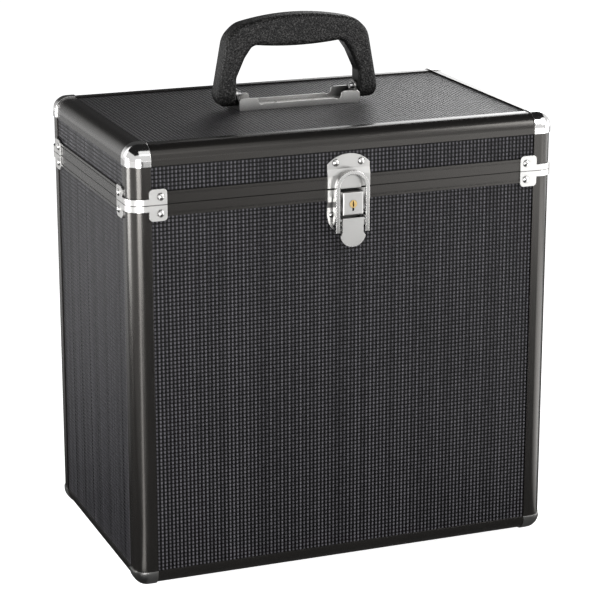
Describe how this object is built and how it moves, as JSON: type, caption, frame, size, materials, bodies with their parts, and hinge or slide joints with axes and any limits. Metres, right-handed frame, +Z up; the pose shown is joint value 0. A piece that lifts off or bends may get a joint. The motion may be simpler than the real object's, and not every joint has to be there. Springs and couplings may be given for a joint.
{
  "type": "record carrying case",
  "caption": "Upright box with a hinged lid, textured boards in metal edge rails, ball corners, a key-locked toggle latch and a folding carry handle.",
  "frame": {"origin": "on the floor, under the middle of the case", "axes": "+X to the right seen from the front, +Y from the front to the back, +Z up; the latch faces -Y"},
  "size_m": [0.3554, 0.232, 0.4268],
  "materials": {
    "textured_board": "board faced with a dark charcoal laminate embossed with a fine square grid, satin",
    "edge_rail": "black anodised extrusion, satin with soft warm grey highlights",
    "bright_metal": "nickel plated pressed steel, bright",
    "plain_steel": "zinc plated steel",
    "key_brass": "machined brass",
    "grip_plastic": "black moulded plastic with a pebble grain",
    "rubber": "black rubber",
    "lining": "black foam pad faced with felt"
  },
  "bodies": {
    "case": {"base_corner_caps": "bright_metal", "base_rail_back": "edge_rail", "base_rail_front": "edge_rail", "base_rail_sides": "edge_rail", "body_back_panel": "textured_board", "body_bottom_panel": "textured_board", "body_bracket_rivets": "bright_metal", "body_floor_pad": "lining", "body_front_panel": "textured_board", "body_left_panel": "textured_board", "body_post_back_left": "edge_rail", "body_post_back_right": "edge_rail", "body_post_front_left": "edge_rail", "body_post_front_right": "edge_rail", "body_right_panel": "textured_board", "body_rim_back": "edge_rail", "body_rim_front": "edge_rail", "body_rim_sides": "edge_rail", "body_seam_brackets": "bright_metal", "foot_screws": "plain_steel", "hinge_body_leaves": "bright_metal", "hinge_body_rivets": "bright_metal", "hinge_pins": "plain_steel", "latch_base_plate": "bright_metal", "latch_base_rivets": "bright_metal", "latch_lever_pin": "plain_steel", "latch_lock_case": "bright_metal", "rubber_feet": "rubber"},
    "lid": {"handle_bracket": "bright_metal", "handle_bracket_rivets": "bright_metal", "handle_pins": "plain_steel", "hinge_lid_leaves": "bright_metal", "hinge_lid_rivets": "bright_metal", "latch_catch_plate": "bright_metal", "latch_catch_rivets": "bright_metal", "lid_back_panel": "textured_board", "lid_bracket_rivets": "bright_metal", "lid_corner_caps": "bright_metal", "lid_front_panel": "textured_board", "lid_left_panel": "textured_board", "lid_post_back_left": "edge_rail", "lid_post_back_right": "edge_rail", "lid_post_front_left": "edge_rail", "lid_post_front_right": "edge_rail", "lid_rail_back": "edge_rail", "lid_rail_front": "edge_rail", "lid_rail_sides": "edge_rail", "lid_right_panel": "textured_board", "lid_rim_back": "edge_rail", "lid_rim_front": "edge_rail", "lid_rim_sides": "edge_rail", "lid_roof_pad": "lining", "lid_seam_brackets": "bright_metal", "lid_top_panel": "textured_board"},
    "handle": {"handle_grip": "grip_plastic"},
    "lever": {"latch_lever": "bright_metal", "latch_loop_pin": "plain_steel"},
    "loop": {"latch_loop": "bright_metal"},
    "key": {"latch_key_cylinder": "key_brass"}
  },
  "joints": [
    {"name": "lid_hinge", "type": "hinge", "parent": "case", "child": "lid", "pos_m": [0, 0.111, 0.309], "axis": [-1, 0, 0], "range_deg": [0, 100]},
    {"name": "handle_fold", "type": "hinge", "parent": "lid", "child": "handle", "pos_m": [0, 0.006, 0.3645], "axis": [1, 0, 0], "range_deg": [-85, 85]},
    {"name": "latch_lever_lift", "type": "hinge", "parent": "case", "child": "lever", "pos_m": [0, -0.1147, 0.2855], "axis": [-1, 0, 0], "range_deg": [0, 100]},
    {"name": "latch_loop_swing", "type": "hinge", "parent": "lever", "child": "loop", "pos_m": [0, -0.1123, 0.279], "axis": [-1, 0, 0], "range_deg": [-120, 0]},
    {"name": "key_turn", "type": "hinge", "parent": "case", "child": "key", "pos_m": [0, -0.1105, 0.2985], "axis": [0, 1, 0], "range_deg": [0, 90]}
  ],
  "couplings": [
    {"joint": "latch_loop_swing", "follows": "latch_lever_lift", "ratio": -1.2}
  ]
}
